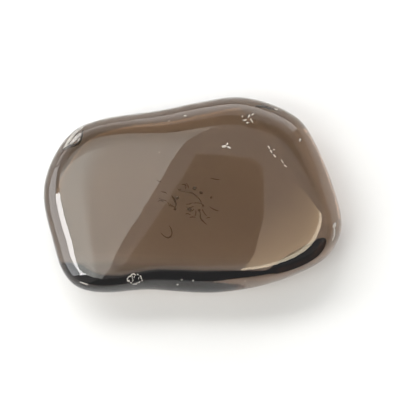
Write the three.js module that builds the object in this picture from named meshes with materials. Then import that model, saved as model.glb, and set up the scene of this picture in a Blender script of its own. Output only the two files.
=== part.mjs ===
// A tumbled smoky quartz pebble, in millimetres, +Z up.
//
// The stone grew and broke as one piece, so it is one closed solid. It is a flat piece of quartz with a broad top face,
// a broad underside and slopes all round its wall, which tumbling has rounded into each other. Two larger worn faces
// and one crisp chip cut across them. The stone lies on its underside, which is worn flat where it rests. The origin is
// on the resting plane, under the middle of the stone's bounding box: +X runs along the stone towards its broader end,
// +Y across it, and +Z up through the top face.

import * as THREE from "three";
import { mergeVertices } from "three/addons/utils/BufferGeometryUtils.js";

// Driving dimensions of the finished stone.
const LENGTH = 28.0;
const WIDTH = 18.4;
const THICKNESS = 6.6;

// Outline of the stone at its widest level, seen from above, anticlockwise from the middle of the narrow left end.
const OUTLINE = [
  [-13.95, 0.3], [-12.9, -4.9], [-12.2, -7.1], [-10.9, -8.65], [-8.6, -9.2],
  [-4.2, -8.85], [-1.2, -9.05], [2.0, -9.15], [6.0, -8.55], [10.0, -7.2],
  [12.6, -5.65], [13.85, -3.4], [13.85, -1.9], [12.6, 2.2], [11.35, 5.0],
  [10.0, 7.05], [7.5, 8.45], [4.2, 9.2], [0.7, 8.7], [-3.1, 7.9],
  [-8.7, 7.05], [-11.0, 6.1], [-12.9, 3.75],
];

// How far the top face and the underside lie from the stone's widest level.
const TOP_REACH = 3.2;
const BASE_REACH = 3.4;

// The top face leans down towards the narrow end by this much. The underside is level, because the stone rests on it.
const TOP_LEAN = 2.0; // degrees

// Slopes that run all the way round between the stone's wall and its broad faces. rise is how far a slope looks up
// (or, below zero, down) from the horizontal, and swing is how much further up it looks on the +Y side and less far on
// the -Y side. inset is how far in from the wall the slope meets the broad face, and narrowing is the share of that
// inset which is missing over the chip, where the top edge is tightest.
const SLOPES = [
  { rise: 50, swing: 10, inset: 1.5, narrowing: 0.8 },
  { rise: 22, swing: 0, inset: 0.4, narrowing: 0.8 },
  { rise: -20, swing: 0, inset: 0.5, narrowing: 0 },
  { rise: -50, swing: 0, inset: 1.0, narrowing: 0 },
];

// Faces left from the breaking of the stone, worn until they run softly into the rest. azimuth is the way a face looks,
// in degrees from +X towards +Y; rise is as above; reach is its distance from the centre.
const WORN_FACES = [
  { azimuth: 193, rise: 66, reach: 7.22 },
  { azimuth: 268, rise: -50, reach: 6.4 },
];

// A younger chip under the stone's broader end. middle is the bearing of its middle, in degrees from +X towards +Y.
const CHIP = { azimuth: 300, rise: -45, reach: 8.65, middle: 328 };

// How soon the top edge widens again away from the middle of the chip: a higher number is sooner.
const WIDENING = 14;

// How sharply neighbouring faces meet, and how sharply the chip meets them: a higher number leaves a tighter edge.
const EDGE_TIGHTNESS = 26;
const CHIP_TIGHTNESS = 90;

// The top face swells by this much at its middle, against its rim.
const TOP_CROWN = 0.35;

// Depth of the flat that wear has cut into the underside where the stone rests.
const WORN_DEPTH = 0.03;

// Number of facets along, across and up the stone.
const FACETS = { along: 50, across: 32, up: 14 };

// Share of the facets' spacing that is drawn towards the stone's edges, where it curves most.
const EDGE_CROWDING = 0.55;

// A face as the vector that gives 1 at every point of its plane.
function planeVector(azimuthDegrees, riseDegrees, reach) {
  const azimuth = THREE.MathUtils.degToRad(azimuthDegrees);
  const rise = THREE.MathUtils.degToRad(riseDegrees);
  return new THREE.Vector3(
    Math.cos(rise) * Math.cos(azimuth),
    Math.cos(rise) * Math.sin(azimuth),
    Math.sin(rise),
  ).divideScalar(reach);
}

const faces = [
  planeVector(180, 90 - TOP_LEAN, TOP_REACH),
  planeVector(0, -90, BASE_REACH),
  ...WORN_FACES.map((face) => planeVector(face.azimuth, face.rise, face.reach)),
];
const chip = planeVector(CHIP.azimuth, CHIP.rise, CHIP.reach);
const chipMiddle = planeVector(CHIP.middle, 0, 1);

// How many times further out than a slope a point lies, for a wall at the given radius.
function slopeGauge({ rise, swing, inset, narrowing }, point, spread, wall) {
  const northward = spread > 0 ? point.y / spread : 0;
  const chipward = spread > 0 ? Math.max(0, chipMiddle.dot(point) / spread) : 0;
  const angle = THREE.MathUtils.degToRad(rise + swing * northward);
  const edge = wall - inset * (1 - narrowing * chipward ** WIDENING);
  const faceHeight = rise > 0 ? TOP_REACH : -BASE_REACH;
  const reach = Math.cos(angle) * edge + Math.sin(angle) * faceHeight;
  return (Math.cos(angle) * spread + Math.sin(angle) * point.z) / reach;
}

// The outline's distance from the centre in each direction, read from a closed curve through its points.
const BEARINGS = 720;
const outlineRadii = measureOutline();

function measureOutline() {
  const points = OUTLINE.map(([x, y]) => new THREE.Vector3(x, y, 0));
  const curve = new THREE.CatmullRomCurve3(points, true, "centripetal");
  const walk = curve.getPoints(BEARINGS * 4).map((p) => ({
    bearing: THREE.MathUtils.euclideanModulo(Math.atan2(p.y, p.x), 2 * Math.PI),
    radius: Math.hypot(p.x, p.y),
  }));
  walk.sort((a, b) => a.bearing - b.bearing);
  const radii = [];
  let at = 0;
  for (let i = 0; i < BEARINGS; i++) {
    const bearing = (i / BEARINGS) * 2 * Math.PI;
    while (at < walk.length - 1 && walk[at].bearing < bearing) at++;
    radii.push(walk[at].radius);
  }
  return softened(radii, 5);
}

// A closed run of numbers, each averaged with its neighbours on both sides.
function softened(values, reach) {
  return values.map((_, i) => {
    let sum = 0;
    for (let k = -reach; k <= reach; k++) {
      sum += values[(i + k + values.length) % values.length];
    }
    return sum / (2 * reach + 1);
  });
}

function outlineRadius(x, y) {
  const turn = THREE.MathUtils.euclideanModulo(Math.atan2(y, x), 2 * Math.PI);
  const place = (turn / (2 * Math.PI)) * BEARINGS;
  const low = Math.floor(place) % BEARINGS;
  const high = (low + 1) % BEARINGS;
  return THREE.MathUtils.lerp(outlineRadii[low], outlineRadii[high], place - Math.floor(place));
}

// How many times further out than the stone's surface a point lies, along its line from the centre.
function gauge(point) {
  const spread = Math.hypot(point.x, point.y);
  const wall = outlineRadius(point.x, point.y);
  const parts = [
    spread / wall,
    ...SLOPES.map((slope) => slopeGauge(slope, point, spread, wall)),
    ...faces.map((face) => face.dot(point)),
  ];
  return tightest([tightest(parts, EDGE_TIGHTNESS), chip.dot(point)], CHIP_TIGHTNESS);
}

// The largest of some numbers, rounded off where two of them come close.
function tightest(values, tightness) {
  const sum = values.reduce((total, value) => total + Math.max(0, value) ** tightness, 0);
  return sum ** (1 / tightness);
}

// Draws evenly spaced places between -half and half towards the two ends.
function crowded(value, half) {
  const even = value / half;
  const drawn = Math.sin((even * Math.PI) / 2);
  return half * THREE.MathUtils.lerp(even, drawn, EDGE_CROWDING);
}

// The worn flat is cut across the lowest part of the underside.
function wearFlat(positions) {
  let lowest = Infinity;
  for (let i = 0; i < positions.count; i++) lowest = Math.min(lowest, positions.getZ(i));
  const flat = lowest + WORN_DEPTH;
  for (let i = 0; i < positions.count; i++) {
    positions.setZ(i, Math.max(flat, positions.getZ(i)));
  }
}

// Brings the stone to its exact length, width and thickness, with the origin under its middle.
function fitToSize(geometry) {
  geometry.computeBoundingBox();
  const { min, max } = geometry.boundingBox;
  geometry.translate(-(min.x + max.x) / 2, -(min.y + max.y) / 2, -min.z);
  geometry.scale(
    LENGTH / (max.x - min.x),
    WIDTH / (max.y - min.y),
    THICKNESS / (max.z - min.z),
  );
}

function stoneGeometry() {
  const height = TOP_REACH + BASE_REACH;
  const box = new THREE.BoxGeometry(
    LENGTH, WIDTH, height,
    FACETS.along, FACETS.across, FACETS.up,
  );
  box.deleteAttribute("normal");
  box.deleteAttribute("uv");
  const geometry = mergeVertices(box, 1e-4);
  const positions = geometry.getAttribute("position");
  const point = new THREE.Vector3();
  for (let i = 0; i < positions.count; i++) {
    point.fromBufferAttribute(positions, i);
    point.set(
      crowded(point.x, LENGTH / 2),
      crowded(point.y, WIDTH / 2),
      crowded(point.z, height / 2),
    );
    point.divideScalar(gauge(point));
    if (point.z > 0) {
      const outward = Math.hypot((2 * point.x) / LENGTH, (2 * point.y) / WIDTH);
      point.z -= TOP_CROWN * outward ** 2 * (point.z / TOP_REACH);
    }
    positions.setXYZ(i, point.x, point.y, point.z);
  }
  wearFlat(positions);
  fitToSize(geometry);
  geometry.computeVertexNormals();
  return geometry;
}

const smokyQuartz = new THREE.MeshStandardMaterial({
  color: 0x6f5a48,
  roughness: 0.05,
  metalness: 0,
  transparent: true,
  opacity: 0.8,
});

const stone = new THREE.Mesh(stoneGeometry(), smokyQuartz);
stone.name = "smoky_quartz";

const group = new THREE.Group();
group.add(stone);

export default group;
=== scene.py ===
"""A tumbled smoky quartz stone lying on white paper in soft window light.

The stone is a copy of the CAD solid, smoothed and given a clear brown material. The marks inside it, such as
threads, grains and small fractures, are separate pieces that ride on the same body. Their places are in
millimetres from the middle of the stone's resting plane, with +X towards the broader end. The stage is in
metres.
"""

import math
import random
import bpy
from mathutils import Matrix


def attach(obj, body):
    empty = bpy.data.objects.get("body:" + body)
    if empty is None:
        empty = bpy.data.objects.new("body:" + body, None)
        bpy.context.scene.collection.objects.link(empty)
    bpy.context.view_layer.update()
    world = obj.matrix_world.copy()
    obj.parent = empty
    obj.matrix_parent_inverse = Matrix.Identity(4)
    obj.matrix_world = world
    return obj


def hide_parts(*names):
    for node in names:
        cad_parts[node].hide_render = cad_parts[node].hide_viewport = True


bl_info = {
    "name": "Smoky quartz stone",
    "version": (1, 0, 0),
    "blender": (4, 5, 0),
    "location": "3D View > Sidebar > Quartz",
    "description": "Builds a tumbled smoky quartz stone with its inner marks, on paper in soft light",
    "category": "Object",
}

from typing import NamedTuple

import bmesh
import bpy
from mathutils import Euler, Matrix, Vector
from mathutils.bvhtree import BVHTree

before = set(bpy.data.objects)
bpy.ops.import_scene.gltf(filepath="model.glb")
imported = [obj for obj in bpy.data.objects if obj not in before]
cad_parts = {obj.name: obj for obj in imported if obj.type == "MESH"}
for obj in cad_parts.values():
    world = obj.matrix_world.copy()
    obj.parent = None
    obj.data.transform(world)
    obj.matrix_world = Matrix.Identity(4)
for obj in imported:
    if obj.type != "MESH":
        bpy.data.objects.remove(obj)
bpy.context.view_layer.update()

MM = 0.001
STONE_NODE = "smoky_quartz"
BODY = "root"


# ---------------------------------------------------------------- settings


class StoneSettings(bpy.types.PropertyGroup):
    """The stone's own look."""

    tint: bpy.props.FloatVectorProperty(
        name="Tint", description="Colour that light takes on at each crossing of the surface",
        default=(0.90, 0.88, 0.86), min=0.0, max=1.0, subtype="COLOR",
    )
    smoke: bpy.props.FloatVectorProperty(
        name="Smoke", description="Colour that the depth of the quartz lets through",
        default=(0.44, 0.262, 0.085), min=0.0, max=1.0, subtype="COLOR",
    )
    smoke_density: bpy.props.FloatProperty(
        name="Smoke density", description="How fast light fades inside, per metre",
        default=165.0, min=0.0,
    )
    refraction: bpy.props.FloatProperty(
        name="Index of refraction", description="How strongly the quartz bends light",
        default=1.544, min=1.0,
    )
    haze: bpy.props.FloatProperty(
        name="Haze", description="Roughness of the patches that polishing left least bright",
        default=0.03, min=0.0, max=1.0, subtype="FACTOR",
    )
    ripple: bpy.props.FloatProperty(
        name="Ripple", description="Height of the faint ripples left by tumbling",
        default=0.0012 * MM, min=0.0, subtype="DISTANCE", unit="LENGTH", precision=7,
    )


class MarkSettings(bpy.types.PropertyGroup):
    """The threads, grains and fractures inside the stone."""

    thread: bpy.props.FloatProperty(
        name="Thread thickness", description="Thickness of a dark thread, before it swells and tapers",
        default=0.105 * MM, min=0.0, subtype="DISTANCE", unit="LENGTH", precision=6,
    )
    dark: bpy.props.FloatVectorProperty(
        name="Dark marks", description="Colour of the threads and grains",
        default=(0.115, 0.082, 0.052), min=0.0, max=1.0, subtype="COLOR",
    )
    pale: bpy.props.FloatVectorProperty(
        name="Pale marks", description="Colour of the flakes and fractures",
        default=(0.86, 0.83, 0.78), min=0.0, max=1.0, subtype="COLOR",
    )
    seed: bpy.props.IntProperty(
        name="Seed", description="Draws another set of irregular edges", default=11, min=0,
    )


class StageSettings(bpy.types.PropertyGroup):
    """The paper, the light and the camera."""

    paper: bpy.props.FloatVectorProperty(
        name="Paper", description="Colour of the paper", default=(0.66, 0.66, 0.66), min=0.0, max=1.0,
        subtype="COLOR",
    )
    sky: bpy.props.FloatProperty(
        name="Sky", description="Brightness of the pale surroundings", default=0.75, min=0.0,
    )
    window: bpy.props.FloatProperty(
        name="Window", description="Brightness of the window beside the narrow end",
        default=16.0, min=0.0,
    )
    daylight: bpy.props.FloatProperty(
        name="Daylight", description="Brightness of the light on the paper from behind the stone",
        default=11.0, min=0.0,
    )
    camera_height: bpy.props.FloatProperty(
        name="Camera height", description="Height of the camera over the paper",
        default=250 * MM, min=0.05, subtype="DISTANCE", unit="LENGTH",
    )
    view_width: bpy.props.FloatProperty(
        name="View width", description="Width of what the camera sees just above the stone's middle",
        default=37.46 * MM, min=0.001, subtype="DISTANCE", unit="LENGTH",
    )


# ---------------------------------------------------------------- material helpers


class Shader:
    """A material's node tree, with short ways to add to it."""

    def __init__(self, name):
        self.material = bpy.data.materials.new(name)
        self.material.use_nodes = True
        self.tree = self.material.node_tree
        self.surface = self.tree.nodes["Principled BSDF"]
        self.output = self.tree.nodes["Material Output"]

    def add(self, kind, **values):
        """A node of that kind. The values go to its input sockets, by name with _ for a space."""
        node = self.tree.nodes.new(kind)
        for key, value in values.items():
            node.inputs[key.replace("_", " ")].default_value = value
        return node

    def link(self, source, target):
        self.tree.links.new(source, target)

    def place(self, stretch=(1.0, 1.0, 1.0)):
        """The point being shaded, in millimetres along the piece's own axes."""
        coordinates = self.tree.nodes.new("ShaderNodeTexCoord")
        mapping = self.add("ShaderNodeMapping", Scale=[s / MM for s in stretch])
        self.link(coordinates.outputs["Object"], mapping.inputs["Vector"])
        return mapping.outputs["Vector"]

    def noise(self, place, scale, detail=2.0, distortion=0.0):
        """A cloudy pattern with features of about 1/scale millimetres."""
        node = self.add("ShaderNodeTexNoise", Scale=scale, Detail=detail, Distortion=distortion)
        self.link(place, node.inputs["Vector"])
        return node.outputs["Fac"]

    def spread(self, value, low, high, to_low, to_high):
        """Maps low..high of a value onto to_low..to_high, held at both ends."""
        node = self.add(
            "ShaderNodeMapRange",
            From_Min=low, From_Max=high, To_Min=to_low, To_Max=to_high,
        )
        self.link(value, node.inputs["Value"])
        return node.outputs["Result"]

    def blend(self, value, first, second):
        """A colour between two, by a value from 0 to 1."""
        node = self.tree.nodes.new("ShaderNodeMix")
        node.data_type = "RGBA"
        first_socket, second_socket = [s for s in node.inputs if s.type == "RGBA"]
        first_socket.default_value = (*first, 1.0)
        second_socket.default_value = (*second, 1.0)
        self.link(value, node.inputs["Factor"])
        return next(s for s in node.outputs if s.type == "RGBA")

    def bump(self, height, distance):
        """Small relief: height from 0 to 1 stands for that distance."""
        node = self.add("ShaderNodeBump", Strength=1.0, Distance=distance)
        self.link(height, node.inputs["Height"])
        self.link(node.outputs["Normal"], self.surface.inputs["Normal"])

    def set(self, **values):
        """Plain values on the surface's own sockets."""
        for key, value in values.items():
            self.surface.inputs[key.replace("_", " ")].default_value = value


def shade(colour, share):
    """A colour scaled by a share, and kept within what a surface can have."""
    return [min(1.0, channel * share) for channel in colour]


# How much clouds in the quartz lighten and darken its tint.
TINT_CONTRAST = 0.015

# Relief of the grain on the inner marks, and of the paper's fibres.
MARK_GRAIN = 0.01 * MM
PAPER_GRAIN = 0.002 * MM


def quartz_material(stone):
    """Clear quartz with smoke through its depth, faint ripples, and patches that took less polish."""
    shader = Shader("smoky_quartz_polished")
    place = shader.place()
    cloud = shader.noise(place, scale=0.22, detail=3.0)
    tint = shader.blend(
        shader.spread(cloud, 0.35, 0.65, 0.0, 1.0),
        shade(stone.tint, 1.0 - TINT_CONTRAST), shade(stone.tint, 1.0 + TINT_CONTRAST),
    )
    shader.link(tint, shader.surface.inputs["Base Color"])
    scuffs = shader.noise(shader.place((1.0, 2.2, 1.0)), scale=0.6, detail=4.0, distortion=0.4)
    roughness = shader.spread(scuffs, 0.58, 0.78, 0.0, stone.haze)
    shader.link(roughness, shader.surface.inputs["Roughness"])
    shader.bump(shader.noise(place, scale=0.45, detail=2.0), stone.ripple)
    shader.set(IOR=stone.refraction, Transmission_Weight=1.0)
    smoke = shader.add(
        "ShaderNodeVolumeAbsorption", Color=(*stone.smoke, 1.0), Density=stone.smoke_density,
    )
    shader.link(smoke.outputs["Volume"], shader.output.inputs["Volume"])
    return shader.material


def mark_material(name, colour, contrast, roughness):
    """Matt mineral matter with a mottled colour, uneven roughness and a fine grain."""
    shader = Shader(name)
    place = shader.place()
    mottle = shader.noise(place, scale=4.0, detail=4.0)
    blended = shader.blend(
        shader.spread(mottle, 0.3, 0.7, 0.0, 1.0),
        shade(colour, 1.0 - contrast), shade(colour, 1.0 + contrast),
    )
    shader.link(blended, shader.surface.inputs["Base Color"])
    fine = shader.noise(place, scale=12.0, detail=3.0)
    shader.link(
        shader.spread(fine, 0.3, 0.7, roughness * 0.8, min(1.0, roughness * 1.2)),
        shader.surface.inputs["Roughness"],
    )
    shader.bump(fine, MARK_GRAIN)
    return shader.material


def paper_material(colour):
    """Matt paper with faint fibres."""
    shader = Shader("paper")
    place = shader.place()
    fibres = shader.noise(place, scale=1.6, detail=5.0, distortion=0.6)
    blended = shader.blend(shader.spread(fibres, 0.3, 0.7, 0.0, 1.0), shade(colour, 0.995), colour)
    shader.link(blended, shader.surface.inputs["Base Color"])
    shader.link(shader.spread(fibres, 0.3, 0.7, 0.86, 0.94), shader.surface.inputs["Roughness"])
    shader.bump(fibres, PAPER_GRAIN)
    shader.set(Specular_IOR_Level=0.2)
    return shader.material


# ---------------------------------------------------------------- shape helpers


# Corners of the CAD solid closer than this are one corner, and triangles are joined up to this angle.
MERGE_REACH = 0.001 * MM
JOIN_ANGLE = math.radians(60)

# Thickness of a thread at its ends, and what is added by its middle, as shares of the thickness it is given.
THREAD_END = 0.45
THREAD_SWELL = 0.75


def new_object(name, mesh, material):
    """Links a mesh into the scene as an object of that name, with one material."""
    piece = bpy.data.objects.new(name, mesh)
    bpy.context.scene.collection.objects.link(piece)
    mesh.materials.clear()
    mesh.materials.append(material)
    return piece


def piece_of_stone(piece):
    """Attaches a piece to the stone's body."""
    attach(piece, BODY)
    return piece


def merged_stone():
    """The CAD solid as one connected bmesh, its triangles joined in pairs where they lie nearly flat."""
    bm = bmesh.new()
    bm.from_mesh(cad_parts[STONE_NODE].data)
    bmesh.ops.remove_doubles(bm, verts=bm.verts, dist=MERGE_REACH)
    bmesh.ops.join_triangles(
        bm, faces=bm.faces, angle_face_threshold=JOIN_ANGLE, angle_shape_threshold=JOIN_ANGLE,
    )
    return bm


class Surface:
    """Finds the stone's top surface over a place."""

    def __init__(self):
        bm = merged_stone()
        self.tree = BVHTree.FromBMesh(bm)
        bm.free()

    def under(self, x, y, depth):
        """The point that far inside the top surface over (x, y), and which way the surface looks there.

        All three are in millimetres. The point comes back in metres.
        """
        start = Vector((x * MM, y * MM, 1.0))
        hit, normal = self.tree.ray_cast(start, Vector((0.0, 0.0, -1.0)))[:2]
        if hit is None:
            raise RuntimeError(f"the mark at {x}, {y} lies outside the stone")
        return hit - normal * depth * MM, normal


def thread_mesh(name, routes, surface, thickness):
    """Thin threads, each along a smooth route of (x, y, depth) points, tapering to both ends."""
    curve = bpy.data.curves.new(name, "CURVE")
    curve.dimensions = "3D"
    curve.bevel_depth = thickness / 2
    curve.bevel_resolution = 2
    curve.resolution_u = 5
    curve.use_fill_caps = True
    for route in routes:
        spline = curve.splines.new("NURBS")
        spline.points.add(len(route) - 1)
        spline.order_u = 3
        spline.use_endpoint_u = True
        last = len(route) - 1
        for number, (x, y, depth) in enumerate(route):
            swell = math.sin(math.pi * number / last)
            spline.points[number].co = (*surface.under(x, y, depth)[0], 1.0)
            spline.points[number].radius = THREAD_END + THREAD_SWELL * swell
    holder = bpy.data.objects.new(name, curve)
    bpy.context.scene.collection.objects.link(holder)
    bpy.context.view_layer.update()
    finished = holder.evaluated_get(bpy.context.evaluated_depsgraph_get())
    mesh = bpy.data.meshes.new_from_object(finished)
    bpy.data.objects.remove(holder)
    bpy.data.curves.remove(curve)
    return mesh


def add_chip(bm, spot, size, turn, lean, draw, jitter=0.28):
    """One small irregular body of that (length, width, thickness), lying along the surface over its spot.

    Sizes are in millimetres and angles in degrees. The body leans over its length, then turns in plan.
    """
    place, normal = spot
    made = bmesh.ops.create_icosphere(bm, subdivisions=2, radius=0.5)["verts"]
    for vert in made:
        vert.co *= 1.0 + draw.uniform(-jitter, jitter)
    fit = Matrix.Diagonal([s * MM for s in size]).to_4x4()
    turned = Euler((math.radians(lean), 0.0, math.radians(turn))).to_matrix().to_4x4()
    laid = Vector((0.0, 0.0, 1.0)).rotation_difference(normal).to_matrix().to_4x4()
    bmesh.ops.transform(bm, matrix=Matrix.Translation(place) @ laid @ turned @ fit, verts=made)


def mesh_of(bm, name, smooth=False):
    """Turns a bmesh into a mesh with its faces outwards."""
    bmesh.ops.recalc_face_normals(bm, faces=bm.faces)
    for face in bm.faces:
        face.smooth = smooth
    mesh = bpy.data.meshes.new(name)
    bm.to_mesh(mesh)
    bm.free()
    return mesh


# ---------------------------------------------------------------- the marks' places

# Dark threads, gathered near the stone's middle. Each is a route of (x, y, depth below the top) points.
THREADS = [
    [(-1.40, 0.60, 0.5), (-1.09, 0.35, 0.4), (-0.55, 0.23, 0.4), (-0.08, 0.23, 0.5),
     (0.31, -0.08, 0.6), (0.66, -0.39, 0.5), (0.86, -0.82, 0.4), (0.98, -1.17, 0.4)],
    [(0.08, -0.78, 0.7), (0.47, -0.70, 0.6), (0.82, -0.80, 0.5)],
    [(0.55, -1.40, 0.8), (0.78, -1.72, 0.7), (0.66, -2.10, 0.7), (1.01, -2.50, 0.8),
     (1.33, -2.77, 0.9)],
    [(0.90, -1.30, 0.6), (1.02, -1.70, 0.6), (1.30, -1.95, 0.6)],
    [(-1.79, -0.16, 0.6), (-1.55, -0.62, 0.6), (-1.54, -1.10, 0.7), (-1.79, -1.36, 0.8)],
    [(-1.95, -0.05, 0.7), (-1.72, -0.42, 0.7), (-1.66, -0.80, 0.7)],
    [(-2.26, -0.90, 0.9), (-1.95, -0.90, 0.8), (-1.56, -1.22, 0.7)],
    [(-2.35, -0.70, 0.9), (-2.05, -1.08, 0.9), (-1.75, -1.12, 0.9)],
    [(-3.16, -0.27, 1.1), (-2.89, -0.49, 1.1), (-2.42, -0.55, 1.0)],
    [(-3.25, -0.62, 1.0), (-2.95, -0.40, 1.0), (-2.75, -0.66, 1.0)],
    [(-3.35, 1.40, 1.2), (-3.08, 1.22, 1.2), (-2.95, 1.24, 1.2)],
    [(-2.96, 0.33, 1.0), (-2.65, 0.29, 1.0), (-2.42, 0.14, 1.0)],
    [(-1.01, 0.94, 0.6), (-0.78, 1.03, 0.6), (-0.55, 0.78, 0.6), (-0.72, 0.52, 0.6)],
    [(-0.62, 1.10, 0.7), (-0.42, 0.90, 0.7), (-0.36, 0.62, 0.7)],
    [(-0.55, -1.09, 0.8), (-0.40, -1.50, 0.8), (-0.05, -1.52, 0.8), (0.15, -1.30, 0.8)],
    [(-0.58, -1.45, 0.6), (-0.23, -1.12, 0.6), (0.12, -1.08, 0.6)],
    [(-0.66, -0.86, 0.7), (-0.30, -0.92, 0.7), (0.02, -0.70, 0.7)],
    [(-0.70, -1.80, 0.9), (-0.42, -1.68, 0.9), (-0.22, -1.86, 0.9)],
    [(-0.30, -2.15, 1.0), (-0.05, -1.98, 1.0), (0.25, -2.10, 1.0)],
    [(0.28, -1.42, 0.8), (0.36, -1.74, 0.8), (0.20, -1.98, 0.8)],
    [(1.56, -1.09, 0.8), (1.95, -1.39, 0.8), (2.42, -1.50, 0.8)],
    [(1.64, 1.60, 1.1), (2.11, 1.43, 1.1), (2.50, 1.44, 1.1)],
    [(1.30, -2.20, 0.8), (1.45, -2.05, 0.8), (1.62, -2.12, 0.8)],
    [(-2.18, -2.89, 0.9), (-1.86, -3.35, 0.9), (-2.03, -3.98, 1.0), (-2.57, -4.02, 1.0),
     (-3.00, -3.51, 1.1)],
]

# Dark grains among the threads: (x, y, depth, length). Their shape is length, width and thickness as shares.
GRAINS = [
    (-1.37, -0.27, 0.4, 0.34), (0.20, 0.62, 0.4, 0.40), (0.78, 0.22, 0.5, 0.32),
    (-0.31, -1.33, 0.7, 0.38), (1.72, -0.23, 0.7, 0.24), (-1.62, -1.32, 0.7, 0.28),
    (0.62, -1.42, 0.7, 0.26), (-1.20, 0.46, 0.5, 0.24), (-2.08, -0.95, 0.7, 0.24),
    (0.98, -0.98, 0.6, 0.22),
]
GRAIN_SHAPE = (1.0, 0.85, 0.7)

# Pale flakes and streaks: (x, y, depth, length, width, turn in degrees). The three flakes at x 13.15 to
# 13.25, just under the surface at the front corner of the broader end, are a painted highlight: pale marks
# where that corner glints.
FLAKES = [
    (2.95, 4.52, 0.2, 0.55, 0.18, 8), (3.38, 4.42, 0.2, 0.46, 0.16, -25),
    (3.22, 4.72, 0.2, 0.26, 0.16, 60), (4.85, 6.95, 0.15, 0.42, 0.14, 10),
    (5.25, 7.35, 0.15, 0.38, 0.14, 62), (5.48, 6.95, 0.15, 0.50, 0.16, -60),
    (5.10, 6.70, 0.15, 0.34, 0.14, 5), (5.62, 7.52, 0.15, 0.30, 0.13, 35),
    (4.62, 7.30, 0.15, 0.22, 0.13, 80), (7.10, 4.42, 0.2, 0.34, 0.14, -60),
    (7.30, 4.05, 0.2, 0.34, 0.14, -65), (7.62, 3.62, 0.25, 0.40, 0.13, -50),
    (8.35, 3.10, 0.3, 0.40, 0.12, -62), (8.62, 2.70, 0.3, 0.34, 0.12, -35),
    (7.55, 4.20, 0.3, 0.24, 0.10, 15), (10.05, 5.15, 0.2, 0.38, 0.20, 55),
    (-0.70, 7.42, 0.2, 0.30, 0.14, 10), (7.84, 8.02, 0.12, 0.38, 0.28, 0),
    (-10.15, -8.28, 0.12, 0.80, 0.14, -12), (-1.40, -8.40, 0.12, 0.16, 0.14, 0),
    (-1.00, -7.92, 0.12, 0.16, 0.14, 0), (0.05, -8.00, 0.12, 0.14, 0.14, 0),
    (4.90, -8.05, 0.12, 0.18, 0.14, 20), (-3.10, 3.95, 0.3, 0.18, 0.09, 30),
    # The flake at (13.25, -2.85) and the two after it are a painted highlight: pale marks where the broader
    # end's front corner glints.
    (-2.20, 6.90, 0.2, 0.18, 0.09, 40), (13.25, -2.85, 0.08, 0.60, 0.40, 35),
    (13.25, -3.45, 0.08, 0.70, 0.30, 95), (13.15, -4.00, 0.08, 0.60, 0.30, 60),
]
FLAKE_THICKNESS = 0.06

# A round bruise near the front edge: its middle, its length and width, and the slivers round and inside it.
BRUISE = (-5.35, -7.85)
BRUISE_SIZE = (1.35, 0.95)
BRUISE_RING_CHIPS = 17
BRUISE_RING_DEPTH = 0.12
BRUISE_INNER_CHIPS = 7
BRUISE_INNER_DEPTH = 0.14

# Scales of the fracture at the corner of the narrow end: (x, y, depth, length, width, turn in degrees).
CORNER_SCALES = [
    (-10.62, 6.12, 0.15, 0.80, 0.42, 30), (-10.95, 5.85, 0.15, 0.90, 0.44, 40),
    (-11.25, 5.55, 0.15, 0.85, 0.42, 46), (-11.52, 5.22, 0.15, 0.75, 0.36, 55),
    (-10.70, 5.62, 0.25, 0.75, 0.38, 35), (-10.98, 5.25, 0.25, 0.75, 0.38, 30),
    (-11.25, 4.98, 0.2, 0.60, 0.30, 38), (-10.62, 5.15, 0.3, 0.50, 0.28, 75),
    (-11.62, 5.00, 0.12, 0.90, 0.50, 50), (-11.82, 4.62, 0.12, 0.80, 0.45, 58),
    (-11.36, 5.40, 0.12, 0.90, 0.50, 44), (-11.02, 5.82, 0.12, 0.90, 0.45, 36),
    (-10.60, 6.20, 0.12, 0.80, 0.35, 28),
]
SCALE_THICKNESS = 0.05

# The crack round those scales, as a route of (x, y, depth) points.
CORNER_CRACK = [
    (-12.20, 4.22, 0.14), (-11.90, 4.38, 0.14), (-11.55, 4.52, 0.14), (-11.15, 4.60, 0.15),
    (-10.72, 4.72, 0.15), (-10.45, 5.00, 0.15), (-10.32, 5.50, 0.15), (-10.22, 6.10, 0.15),
]

# A dark gap between two layers at the back edge, near the broader end.
EDGE_GAP = [(5.90, 8.32, 0.2), (6.50, 8.36, 0.2), (7.20, 8.20, 0.2), (7.80, 7.98, 0.2)]

# Thickness of the crack and the gap against a thread's, and how dark they are against the other dark marks.
CRACK_WIDENING = 2.0
GAP_WIDENING = 2.6
OPENING_SHADE = 0.4

# How bright the corner's scales are against the other pale marks.
SCALE_SHADE = 0.62


# ---------------------------------------------------------------- operators

ROUNDING_LEVELS = 2


class STONE_OT_quartz(bpy.types.Operator):
    """Build the stone's polished body from the CAD solid"""

    bl_idname = "stone.quartz"
    bl_label = "Stone"

    def execute(self, context):
        mesh = mesh_of(merged_stone(), "quartz_stone", smooth=True)
        stone = new_object("quartz_stone", mesh, quartz_material(context.scene.stone_settings))
        rounding = stone.modifiers.new("rounding", "SUBSURF")
        rounding.levels = ROUNDING_LEVELS
        rounding.render_levels = ROUNDING_LEVELS
        piece_of_stone(stone)
        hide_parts(STONE_NODE)
        return {"FINISHED"}


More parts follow.
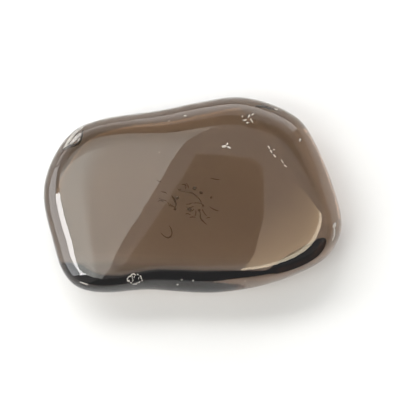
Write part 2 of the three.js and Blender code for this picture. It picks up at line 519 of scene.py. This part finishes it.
class STONE_OT_dark_marks(bpy.types.Operator):
    """Build the dark threads, the grains and the gap at the edge"""

    bl_idname = "stone.dark_marks"
    bl_label = "Dark threads and grains"

    def execute(self, context):
        marks = context.scene.mark_settings
        surface = Surface()
        material = mark_material("dark_mineral", marks.dark, contrast=0.35, roughness=0.6)
        threads = thread_mesh("dark_threads", THREADS, surface, marks.thread)
        piece_of_stone(new_object("dark_threads", threads, material))
        gap = thread_mesh("edge_gap", [EDGE_GAP], surface, GAP_WIDENING * marks.thread)
        opening = mark_material("open_gap", shade(marks.dark, OPENING_SHADE), contrast=0.35, roughness=0.6)
        piece_of_stone(new_object("edge_gap", gap, opening))
        draw = random.Random(marks.seed)
        bm = bmesh.new()
        for x, y, depth, width in GRAINS:
            size = [width * share for share in GRAIN_SHAPE]
            add_chip(bm, surface.under(x, y, depth), size, draw.uniform(0, 180), 0, draw)
        piece_of_stone(new_object("dark_grains", mesh_of(bm, "dark_grains"), material))
        return {"FINISHED"}


class STONE_OT_pale_marks(bpy.types.Operator):
    """Build the pale flakes, among them a painted highlight at the broader end's front corner, and the
    bruise
    """

    bl_idname = "stone.pale_marks"
    bl_label = "Pale flakes and bruise"

    def execute(self, context):
        marks = context.scene.mark_settings
        surface = Surface()
        material = mark_material("fractured_quartz", marks.pale, contrast=0.2, roughness=0.45)
        draw = random.Random(marks.seed + 1)
        bm = bmesh.new()
        for x, y, depth, length, width, turn in FLAKES:
            size = (length, width, FLAKE_THICKNESS)
            add_chip(bm, surface.under(x, y, depth), size, turn, draw.uniform(-10, 10), draw)
        piece_of_stone(new_object("pale_flakes_and_painted_glint", mesh_of(bm, "pale_flakes_and_painted_glint"), material))
        piece_of_stone(new_object("bruise", bruise_mesh(surface, draw), material))
        return {"FINISHED"}


def bruise_mesh(surface, draw):
    """A broken ring of slivers, and a few more inside it."""
    bm = bmesh.new()
    for number in range(BRUISE_RING_CHIPS):
        angle = 360 * number / BRUISE_RING_CHIPS + draw.uniform(-8, 8)
        reach = draw.uniform(0.42, 0.54)
        x = BRUISE[0] + BRUISE_SIZE[0] * reach * math.cos(math.radians(angle))
        y = BRUISE[1] + BRUISE_SIZE[1] * reach * math.sin(math.radians(angle))
        spot = surface.under(x, y, BRUISE_RING_DEPTH)
        size = (draw.uniform(0.16, 0.36), draw.uniform(0.07, 0.12), 0.05)
        add_chip(bm, spot, size, angle + 90 + draw.uniform(-30, 30), 0, draw)
    for _ in range(BRUISE_INNER_CHIPS):
        x = BRUISE[0] + BRUISE_SIZE[0] * draw.uniform(-0.3, 0.3)
        y = BRUISE[1] + BRUISE_SIZE[1] * draw.uniform(-0.3, 0.3)
        spot = surface.under(x, y, BRUISE_INNER_DEPTH)
        size = (draw.uniform(0.08, 0.3), 0.05, 0.04)
        add_chip(bm, spot, size, draw.uniform(40, 110), 0, draw)
    return mesh_of(bm, "bruise")


class STONE_OT_corner(bpy.types.Operator):
    """Build the scaly fracture and crack at the narrow end's corner"""

    bl_idname = "stone.corner"
    bl_label = "Corner fracture"

    def execute(self, context):
        marks = context.scene.mark_settings
        surface = Surface()
        draw = random.Random(marks.seed + 2)
        bm = bmesh.new()
        for x, y, depth, length, width, turn in CORNER_SCALES:
            size = (length, width, SCALE_THICKNESS)
            add_chip(bm, surface.under(x, y, depth), size, turn, draw.uniform(-8, 8), draw)
        pale = mark_material("corner_scales", shade(marks.pale, SCALE_SHADE), contrast=0.35, roughness=0.4)
        piece_of_stone(new_object("corner_scales", mesh_of(bm, "corner_scales"), pale))
        crack = thread_mesh("corner_crack", [CORNER_CRACK], surface, CRACK_WIDENING * marks.thread)
        dark = mark_material("crack", shade(marks.dark, OPENING_SHADE), contrast=0.3, roughness=0.5)
        piece_of_stone(new_object("corner_crack", crack, dark))
        return {"FINISHED"}


# ---------------------------------------------------------------- the light cards

# Cards stand for the soft light and for the darker things round the stone that its polish mirrors. They
# glow, and the camera doesn't see them. Corners are in metres, and a glow is linear RGB.


class Fade(NamedTuple):
    """How a card's glow changes along a direction, from one distance to another, to the glow at its end."""

    direction: tuple
    start: float
    end: float
    glow: tuple


class Card(NamedTuple):
    """A flat card, its glow, and where it shows."""

    name: str
    corners: list
    glow: tuple
    fade: Fade = None
    paper_glow: tuple = None  # its glow for light that has met the paper, if that differs
    in_polish: bool = True  # whether the stone's surface mirrors it
    in_quartz: bool = True  # whether it is seen through the stone
    on_paper: bool = True  # whether it lights the paper
    blocks: bool = True  # whether it stops the light of the cards behind it


def overhead(*places, height):
    """Corners of a card over the stone, from (x, y) places."""
    return [(x, y, height) for x, y in places]


def around(bearings, rises, distance):
    """Corners of a card that faces the stone, between two bearings and two rises in degrees."""
    left, right = [math.radians(bearing) for bearing in bearings]
    low, high = [math.radians(rise) for rise in rises]
    corners = []
    for bearing, rise in ((left, low), (right, low), (right, high), (left, high)):
        reach = distance * math.cos(rise)
        corners.append((reach * math.cos(bearing), reach * math.sin(bearing), distance * math.sin(rise)))
    return corners


def grey(level):
    return (level, level, level)


# Heights of the cards over the stone. The wall's cards lie just above the others, which hide them where they
# overlap.
CARD_HEIGHT = 0.5
WALL_HEIGHT = 0.502

# Directions that glows fade along.
TOWARDS_FRONT_RIGHT = (0.7071, -0.7071, 0.0)
TOWARDS_LEFT = (-0.97, 0.24, 0.0)
TOWARDS_BACK = (0.0, 1.0, 0.0)
UP = (0.0, 0.0, 1.0)

CARDS = [
    Card(
        "soft_light",
        overhead((-0.041, 0.05), (-0.5, 0.05), (-0.5, -0.25), (-0.1227, -0.185), height=CARD_HEIGHT),
        (3.0, 3.0, 2.85), Fade(TOWARDS_LEFT, 0.09, 0.112, (4.7, 4.75, 4.5)),
    ),
    Card(
        "soft_light_far",
        overhead((-0.0235, 0.1), (-0.5, 0.1), (-0.5, 0.05), (-0.041, 0.05), height=CARD_HEIGHT),
        (3.0, 3.0, 2.85), Fade(TOWARDS_BACK, 0.05, 0.072, (1.9, 1.95, 1.85)),
    ),
    Card(
        "high_shade",
        overhead((0.35, 0.28), (-0.35, 0.28), (-0.35, 0.1), (0.35, 0.1), height=CARD_HEIGHT),
        grey(0.05),
    ),
    Card(
        "camera_body",
        overhead(
            (-0.031, 0.043), (0.004, 0.04), (0.01, 0.03), (0.01, -0.02), (0.002, -0.09), (-0.081, -0.09),
            height=CARD_HEIGHT,
        ),
        grey(0.1),
    ),
    Card(
        "warm_wall",
        overhead((0.002, 0.02), (0.002, -0.125), (0.147, 0.02), height=WALL_HEIGHT),
        grey(0.75), Fade(TOWARDS_FRONT_RIGHT, 0.012, 0.085, (4.1, 3.15, 2.1)),
    ),
    Card(
        "wall_edge",
        overhead((0.0, -0.126), (0.0, -0.16), (0.18, 0.02), (0.146, 0.02), height=WALL_HEIGHT),
        (9.0, 7.8, 6.0),
    ),
    Card(
        "near_shade",
        overhead((0.002, -0.16), (0.22, -0.16), (0.22, 0.02), (0.182, 0.02), height=WALL_HEIGHT),
        (0.5, 0.52, 0.54),
    ),
    Card(
        "onlooker",
        [(-0.09, -0.162, 0.5), (0.3, -0.162, 0.5), (0.5, -0.6, 0.0), (-0.35, -0.6, 0.0)],
        (0.35, 0.37, 0.39),
    ),
    Card("right_shade", around((-60, 40), (2, 40), 0.8), grey(0.3)),
    Card("left_low_light", around((165, 215), (1, 29), 0.85), (4.4, 4.5, 4.6)),
    Card("far_shade", around((40, 163), (0, 26), 0.8), grey(0.02), paper_glow=grey(2.8)),
    Card(
        "far_light", around((60, 150), (26, 58), 0.9), grey(5.5), Fade(UP, 0.42, 0.68, grey(1.2)),
        in_polish=False,
    ),
    Card(
        "far_window", around((40, 163), (2.5, 58), 0.78), grey(4.4), Fade(UP, 0.03, 0.32, grey(0.9)),
        in_quartz=False, on_paper=False, blocks=False,
    ),
]

# The window and the daylight have settings for their glow.
WINDOW_CORNERS = around((186, 216), (30, 64), 0.8)
DAYLIGHT_CORNERS = around((85, 152), (27, 58), 0.75)


def flat_mesh(name, corners):
    """A mesh of one face with those corners."""
    bm = bmesh.new()
    verts = [bm.verts.new(corner) for corner in corners]
    bmesh.ops.contextual_create(bm, geom=verts)
    mesh = bpy.data.meshes.new(name)
    bm.to_mesh(mesh)
    bm.free()
    return mesh


def glow_material(card):
    """A card's glow, with its fade or its glow for the paper."""
    shader = Shader(card.name)
    shader.tree.nodes.remove(shader.surface)
    emission = shader.add("ShaderNodeEmission", Color=(*card.glow, 1.0), Strength=1.0)
    if card.fade:
        coordinates = shader.tree.nodes.new("ShaderNodeTexCoord")
        along = shader.tree.nodes.new("ShaderNodeVectorMath")
        along.operation = "DOT_PRODUCT"
        along.inputs[1].default_value = card.fade.direction
        shader.link(coordinates.outputs["Object"], along.inputs[0])
        share = shader.spread(along.outputs["Value"], card.fade.start, card.fade.end, 0.0, 1.0)
        shader.link(shader.blend(share, card.glow, card.fade.glow), emission.inputs["Color"])
    if card.paper_glow:
        path = shader.tree.nodes.new("ShaderNodeLightPath")
        met_paper = shader.spread(path.outputs["Diffuse Depth"], 0.0, 1.0, 0.0, 1.0)
        shader.link(shader.blend(met_paper, card.glow, card.paper_glow), emission.inputs["Color"])
        shader.material.cycles.emission_sampling = "NONE"
    shader.link(emission.outputs["Emission"], shader.output.inputs["Surface"])
    return shader.material


def add_card(card):
    piece = new_object(card.name, flat_mesh(card.name, card.corners), glow_material(card))
    piece.visible_camera = False
    piece.visible_glossy = card.in_polish
    piece.visible_transmission = card.in_quartz
    piece.visible_diffuse = card.on_paper
    piece.visible_shadow = card.blocks


# ---------------------------------------------------------------- the paper and the camera

# How far the paper reaches each way, in metres, and how far it lies under the resting plane.
PAPER_REACH = 10.0
PAPER_DROP = 0.02 * MM

# Where the camera stands over the stone, and the level at which the view's width is measured.
CAMERA_PLACE = (0.70 * MM, -0.47 * MM)
VIEW_LEVEL = 4 * MM
SENSOR_WIDTH = 36.0  # in millimetres, as a camera's own settings give it


def add_paper(colour):
    """A level sheet just under the resting plane, wide enough to fill a low view."""
    bm = bmesh.new()
    bmesh.ops.create_grid(bm, x_segments=1, y_segments=1, size=PAPER_REACH)
    bmesh.ops.translate(bm, vec=(0.0, 0.0, -PAPER_DROP), verts=bm.verts)
    mesh = bpy.data.meshes.new("paper")
    bm.to_mesh(mesh)
    bm.free()
    new_object("paper", mesh, paper_material(colour))


def add_camera(height, width):
    """A camera straight over the stone, a little off its middle."""
    data = bpy.data.cameras.new("camera")
    camera = bpy.data.objects.new("camera", data)
    bpy.context.scene.collection.objects.link(camera)
    camera.location = (*CAMERA_PLACE, height)
    data.sensor_width = SENSOR_WIDTH
    data.lens = SENSOR_WIDTH * (height - VIEW_LEVEL) / width
    data.clip_start = 0.001
    data.clip_end = 20.0
    bpy.context.scene.camera = camera


class STONE_OT_stage(bpy.types.Operator):
    """Lay out the paper, the light cards and the camera"""

    bl_idname = "stone.stage"
    bl_label = "Paper, light and camera"

    def execute(self, context):
        scene = context.scene
        stage = scene.stage_settings
        add_paper(stage.paper)
        for card in CARDS:
            add_card(card)
        add_card(Card("window", WINDOW_CORNERS, grey(stage.window), on_paper=False))
        add_card(Card("daylight", DAYLIGHT_CORNERS, grey(stage.daylight), in_polish=False, in_quartz=False))
        world = bpy.data.worlds.new("surroundings")
        world.use_nodes = True
        sky = world.node_tree.nodes["Background"]
        sky.inputs["Color"].default_value = (*grey(1.0), 1.0)
        sky.inputs["Strength"].default_value = stage.sky
        scene.world = world
        scene.view_settings.view_transform = "Standard"
        scene.cycles.max_bounces = 32
        scene.cycles.transmission_bounces = 32
        scene.cycles.glossy_bounces = 16
        scene.cycles.diffuse_bounces = 6
        scene.cycles.sample_clamp_indirect = 0.0
        add_camera(stage.camera_height, stage.view_width)
        return {"FINISHED"}


# ---------------------------------------------------------------- panel and registration

OPERATORS = (STONE_OT_quartz, STONE_OT_dark_marks, STONE_OT_pale_marks, STONE_OT_corner, STONE_OT_stage)
SETTINGS = {
    "stone_settings": StoneSettings,
    "mark_settings": MarkSettings,
    "stage_settings": StageSettings,
}


class STONE_PT_panel(bpy.types.Panel):
    """Lists the stone's pieces and their settings"""

    bl_idname = "STONE_PT_panel"
    bl_label = "Smoky quartz stone"
    bl_space_type = "VIEW_3D"
    bl_region_type = "UI"
    bl_category = "Quartz"

    def draw(self, context):
        for name in SETTINGS:
            group = getattr(context.scene, name)
            box = self.layout.box()
            for prop in group.bl_rna.properties.keys():
                if prop not in {"rna_type", "name"}:
                    box.prop(group, prop)
        for operator in OPERATORS:
            self.layout.operator(operator.bl_idname)


def register():
    for name, group in SETTINGS.items():
        bpy.utils.register_class(group)
        setattr(bpy.types.Scene, name, bpy.props.PointerProperty(type=group))
    for operator in OPERATORS:
        bpy.utils.register_class(operator)
    bpy.utils.register_class(STONE_PT_panel)


def unregister():
    bpy.utils.unregister_class(STONE_PT_panel)
    for operator in reversed(OPERATORS):
        bpy.utils.unregister_class(operator)
    for name, group in reversed(SETTINGS.items()):
        delattr(bpy.types.Scene, name)
        bpy.utils.unregister_class(group)


def main():
    register()
    bpy.ops.stone.quartz()
    bpy.ops.stone.dark_marks()
    bpy.ops.stone.pale_marks()
    bpy.ops.stone.corner()
    bpy.ops.stone.stage()


if __name__ == "__main__":
    main()
